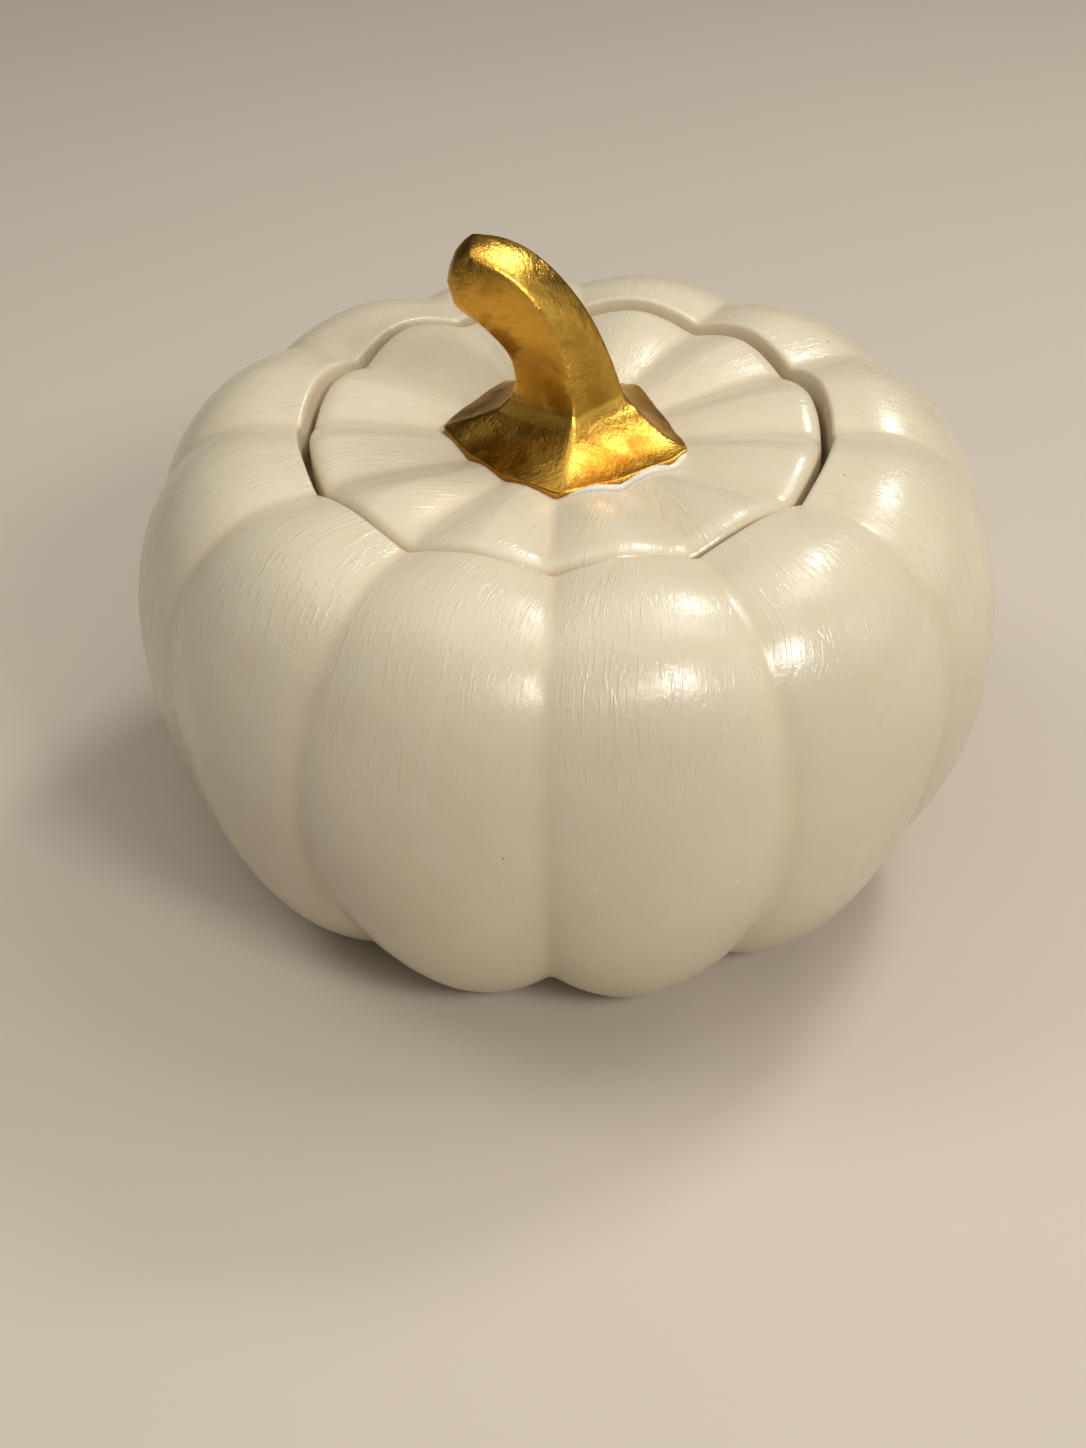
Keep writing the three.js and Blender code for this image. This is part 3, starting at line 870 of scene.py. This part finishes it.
def gilding(finish):
    """Gold leaf: wrinkles and fine cracks, pinholes, bright ridges and a dark patina in the hollows that is
    partly painted shade, with painted light where it faces up and painted shade where it turns to the side.
    """
    material, tree, shader = new_material("Gilding")
    place = tree.place()
    hollow = tree.attribute("hollow")
    low = tree.attribute("low")
    # painted light and shade: the gilt is painted brighter where it faces up and darker, towards the patina
    # colour, where it turns to the side
    lit_from_above = tree.spread(tree.attribute("lit_from_above"), -0.1, 0.6)
    tone = use_group(tree, "Blotches", make_blotches, {"Place": place, "Spread": 0.009})
    holes = use_group(tree, "Specks", make_specks, {"Place": place, **GILT_HOLES})
    scabs = use_group(tree, "Specks", make_specks, {"Place": place, **GILT_SCABS})

    bent = tree.add("ShaderNodeTexNoise", {"Vector": place, "Scale": 260.0, "Detail": 2.0}).outputs["Color"]
    bent = tree.vector("ADD", place, tree.stretched(bent, (0.0022, 0.0022, 0.0022)))
    inputs = {"Vector": tree.stretched(bent, (1.0, 1.0, 1.9)), "Scale": 420.0}
    cells = tree.add("ShaderNodeTexVoronoi", inputs, feature="DISTANCE_TO_EDGE").outputs["Distance"]
    cracks = tree.spread(cells, 0.0, 0.06, 1.0, 0.0)
    cracked = tree.spread(tree.noise(place, 120.0, 2.0), 0.42, 0.62)
    cracks = tree.math("MULTIPLY", cracks, cracked)
    inputs = {"Vector": bent, "Scale": 330.0, "Distortion": 5.0, "Detail": 2.0, "Detail Scale": 1.5}
    folds = tree.add("ShaderNodeTexWave", inputs, bands_direction="DIAGONAL").outputs["Fac"]

    clouded = tree.spread(tone["Tone"], 0.4, 1.0, -0.12, 0.25)
    # how far the gilt goes to the patina colour: real patina, random clouding and a little more near the
    # root, with painted shade in the hollows and on faces turned from above
    patina_and_painted_shade = tree.math("MULTIPLY_ADD", hollow, 0.6, clouded)
    # painted shade where the gilt turns away from above
    patina_and_painted_shade = tree.math("ADD", patina_and_painted_shade, tree.math("MULTIPLY", tree.math("SUBTRACT", 1.0, lit_from_above), 0.55))
    patina_and_painted_shade = tree.math("ADD", patina_and_painted_shade, tree.math("MULTIPLY", low, 0.06), clamp=True)
    shade = tree.mix(tree.spread(patina_and_painted_shade, 0.1, 0.95), finish.gilt, finish.patina_and_shade)
    shade = tree.mix(tree.math("MULTIPLY", cracks, 0.3), shade, finish.patina_and_shade)
    shade = tree.mix(tree.math("MULTIPLY", holes["Dot"], 0.8), shade, tuple(c * 0.4 for c in finish.patina_and_shade))
    shade = tree.mix(tree.math("MULTIPLY", scabs["Dot"], 0.35), shade, finish.thin_paint_and_shade)

    gloss = tree.spread(tree.noise(place, 210.0, 3.0, 0.6), 0.3, 0.7, *GILT_ROUGHNESS)
    gloss = tree.math("ADD", gloss, tree.math("MULTIPLY", patina_and_painted_shade, 0.10))
    gloss = tree.math("ADD", gloss, tree.math("MULTIPLY", scabs["Dot"], 0.25), clamp=True)
    metal = tree.math("SUBTRACT", 1.0, tree.math("MULTIPLY", scabs["Dot"], 0.6))

    wrinkles = tree.noise(tree.stretched(bent, (1.0, 1.0, 0.45)), 1100.0, 3.0, 0.6)
    relief = bump(tree, tree.noise(place, 230.0, 2.0), GILT_DENT_DEPTH)
    relief = bump(tree, tree.math("MULTIPLY", folds, cracked), GILT_FOLD_DEPTH, relief)
    relief = bump(tree, wrinkles, GILT_WRINKLE_DEPTH, relief)
    relief = bump(tree, tree.noise(place, 3200.0, 2.0, 0.65), GILT_GRAIN_DEPTH, relief)
    relief = bump(tree, tree.math("MULTIPLY", cracks, -1.0), GILT_CRACK_DEPTH, relief)
    relief = bump(tree, tree.math("MULTIPLY", holes["Dot"], -1.0), GILT_HOLE_DEPTH, relief)
    connect(tree, shader, base_color=shade, roughness=gloss, metallic=metal, normal=relief)
    return material


def white_filler(finish):
    """Dried filler: smooth, glossy and a little lumpy."""
    material, tree, shader = new_material("White filler")
    place = tree.place()
    tone = use_group(tree, "Blotches", make_blotches, {"Place": place, "Spread": 0.006})
    shade = tree.mix(tone["Tone"], finish.filler, tuple(c * 0.86 for c in finish.filler))
    gloss = tree.spread(tone["Fine"], 0.3, 0.7, *FILLER_ROUGHNESS)
    relief = bump(tree, tone["Fine"], FILLER_LUMP_DEPTH)
    connect(tree, shader, base_color=shade, roughness=gloss, normal=relief)
    return material


def studio_floor(settings):
    """Matt painted board."""
    material, tree, shader = new_material("Pale floor")
    tone = use_group(tree, "Blotches", make_blotches, {"Place": tree.place(), "Spread": 0.25})
    shade = tree.mix(tone["Tone"], settings.floor, tuple(c * 0.985 for c in settings.floor))
    connect(tree, shader, base_color=shade)
    shader.inputs["Roughness"].default_value = FLOOR_ROUGHNESS
    return material


# Operators


def dress(piece, material, node=None):
    """Gives a piece its material, ties it to the jar's body, and hides the solid it stands for, if there is
    one.
    """
    piece.data.materials.append(material)
    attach(piece, "root")
    if node:
        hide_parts(node)


class JAR_OT_bowl(bpy.types.Operator):
    """Build the hollow lobed bowl with its painted outside"""

    bl_idname = "jar.bowl"
    bl_label = "Bowl"

    def execute(self, context):
        scene = context.scene
        outline, bareness_and_shade = bowl_outline(scene.jar_sizes)
        piece = turn_lobes("painted_bowl", outline, bareness_and_shade, BOWL_SOFTNESS, BOWL_UNEVENNESS, wandering=True)
        dress(piece, cream_paint(scene.jar_finish, "Brushed paint, bowl", 1.0, 0.5), "bowl")
        return {"FINISHED"}


class JAR_OT_lid(bpy.types.Operator):
    """Build the fluted lid that drops into the bowl's recess"""

    bl_idname = "jar.lid"
    bl_label = "Lid"

    def execute(self, context):
        scene = context.scene
        outline, bareness_and_shade = lid_outline(scene.jar_sizes)
        piece = turn_lobes(
            "painted_lid", outline, bareness_and_shade, LID_SOFTNESS, LID_UNEVENNESS, LID_TURN_DEG, reach=lid_reach
        )
        dress(piece, cream_paint(scene.jar_finish, "Brushed paint, lid", 2.0, 0.4), "lid")
        return {"FINISHED"}


class JAR_OT_stem(bpy.types.Operator):
    """Build the gilt stem: flared five-cornered root, twisting ridges and blunt bent tip"""

    bl_idname = "jar.stem"
    bl_label = "Stem"

    def execute(self, context):
        scene = context.scene
        rings, middles, ways = stem_points(scene.jar_sizes.stem_edge / MM)
        foot = rings[0].copy()
        foot[:, 2] = lid_top(foot[:, 0], foot[:, 1]) - ROOT_SINK
        rings, middles, ways = [foot, *rings], [middles[0], *middles], [0, *ways]
        under = foot.mean(axis=0) - (0, 0, ROOT_MIDDLE_SINK)
        end = rings[-1].mean(axis=0)
        outward = end - rings[-4].mean(axis=0)
        points = np.vstack([under, *rings, end + TIP_DOME * outward / np.linalg.norm(outward)])
        way = np.repeat(ways, len(foot))
        # patina in the middle of the faces near the root, partly painted shade
        hollow = np.concatenate(middles) * (1 - ramp(way, 0, HOLLOWS_END)) ** 0.7
        low = 1 - ramp(way, 0, LOW_END)
        values = {"hollow": np.concatenate([[1], hollow, [0]]), "low": np.concatenate([[1], low, [0]])}
        piece = put_mesh("gilt_stem", points, ring_faces(len(rings) + 2, len(foot)), values)
        # how far each point faces up, for the gilt's painted light and shade
        facing_up = np.array([vertex.normal.z for vertex in piece.data.vertices], np.float32)
        piece.data.attributes.new("lit_from_above", "FLOAT", "POINT").data.foreach_set("value", facing_up)
        dress(piece, gilding(scene.jar_finish), "stem")
        return {"FINISHED"}


class JAR_OT_filler(bpy.types.Operator):
    """Run an uneven bead of white filler along the front right edge of the stem's root"""

    bl_idname = "jar.filler"
    bl_label = "Filler"

    def execute(self, context):
        scene = context.scene
        rings, _, _ = stem_points(scene.jar_sizes.stem_edge / MM)
        edge = rings[0][: STEM_STEPS_PER_FACE + 1]
        points = bead_points(edge, scene.jar_sizes.filler_width / MM)
        piece = put_mesh("white_filler", points, ring_faces(len(edge) + 2, BEAD_SIDES), {})
        dress(piece, white_filler(scene.jar_finish))
        return {"FINISHED"}


def add_lamp(name, towards, size, power, shown, tint):
    """A soft rectangular lamp that lights the jar from a direction. One that isn't shown is fill light."""
    lamp = bpy.data.lights.new(name, "AREA")
    lamp.shape = "RECTANGLE"
    lamp.size, lamp.size_y = size
    lamp.energy = power
    lamp.color = tint
    holder = bpy.data.objects.new(name, lamp)
    aim = Vector(towards).normalized()
    holder.location = Vector((0, 0, LAMP_AIM_Z)) + aim * LAMP_DISTANCE
    holder.rotation_euler = aim.to_track_quat("Z", "Y").to_euler()
    holder.visible_glossy = shown
    bpy.context.collection.objects.link(holder)


def lay_floor(settings):
    """The plain pale floor under the jar, which is stage and not a piece of it."""
    corners = [(-FLOOR_HALF, -FLOOR_HALF, 0), (FLOOR_HALF, -FLOOR_HALF, 0)]
    corners += [(FLOOR_HALF, FLOOR_HALF, 0), (-FLOOR_HALF, FLOOR_HALF, 0)]
    mesh = bpy.data.meshes.new("pale_floor")
    mesh.from_pydata(corners, [], [(0, 1, 2, 3)])
    mesh.materials.append(studio_floor(settings))
    floor = bpy.data.objects.new("pale_floor", mesh)
    bpy.context.collection.objects.link(floor)


def fill_air(scene, settings):
    """Faint warm light from all round."""
    world = bpy.data.worlds.new("Studio air")
    world.use_nodes = True
    air = world.node_tree.nodes["Background"]
    air.inputs["Color"].default_value = (*AIR_COLOUR, 1)
    air.inputs["Strength"].default_value = settings.ambient
    scene.world = world


def place_camera(scene):
    """The camera that sees the jar as the photograph does."""
    camera = bpy.data.cameras.new("Camera")
    camera.sensor_width = SENSOR_MM
    camera.lens = SENSOR_MM * FOCAL_PIXELS / PHOTOGRAPH_ROWS
    camera.clip_start = 0.01
    ahead = Vector(CAMERA_AHEAD).normalized()
    up = Vector(CAMERA_RIGHT).cross(ahead).normalized()
    right = ahead.cross(up)
    rows = [[right[i], up[i], -ahead[i], CAMERA_PLACE[i]] for i in range(3)]
    view = bpy.data.objects.new("Camera", camera)
    view.matrix_world = Matrix([*rows, [0, 0, 0, 1]])
    bpy.context.collection.objects.link(view)
    scene.camera = view


class JAR_OT_studio(bpy.types.Operator):
    """Set up the pale floor, the soft lamps and the camera"""

    bl_idname = "jar.studio"
    bl_label = "Studio"

    def execute(self, context):
        scene = context.scene
        settings = scene.jar_studio
        lay_floor(settings)
        for name, towards, size, power, shown in LAMPS:
            add_lamp(name, towards, size, power * settings.lamps, shown, tuple(settings.light))
        fill_air(scene, settings)
        place_camera(scene)
        scene.view_settings.view_transform = "Standard"
        return {"FINISHED"}


class JAR_PT_panel(bpy.types.Panel):
    """Lists the pieces of the jar"""

    bl_idname = "JAR_PT_panel"
    bl_label = "Pumpkin Jar"
    bl_space_type = "VIEW_3D"
    bl_region_type = "UI"
    bl_category = "Jar"

    def draw(self, context):
        for settings in (context.scene.jar_sizes, context.scene.jar_finish, context.scene.jar_studio):
            box = self.layout.box()
            for key in settings.__annotations__:
                box.prop(settings, key)
        for operator in OPERATORS:
            self.layout.operator(operator.bl_idname)


OPERATORS = (JAR_OT_studio, JAR_OT_bowl, JAR_OT_lid, JAR_OT_stem, JAR_OT_filler)
SETTINGS = {"jar_sizes": JarSizes, "jar_finish": JarFinish, "jar_studio": StudioSettings}


def register():
    for cls in (*SETTINGS.values(), *OPERATORS, JAR_PT_panel):
        bpy.utils.register_class(cls)
    for name, cls in SETTINGS.items():
        setattr(bpy.types.Scene, name, bpy.props.PointerProperty(type=cls))


def unregister():
    for name in SETTINGS:
        delattr(bpy.types.Scene, name)
    for cls in (JAR_PT_panel, *reversed(OPERATORS), *reversed(SETTINGS.values())):
        bpy.utils.unregister_class(cls)


def main():
    register()
    bpy.ops.jar.studio()
    bpy.ops.jar.bowl()
    bpy.ops.jar.lid()
    bpy.ops.jar.stem()
    bpy.ops.jar.filler()


if __name__ == "__main__":
    main()
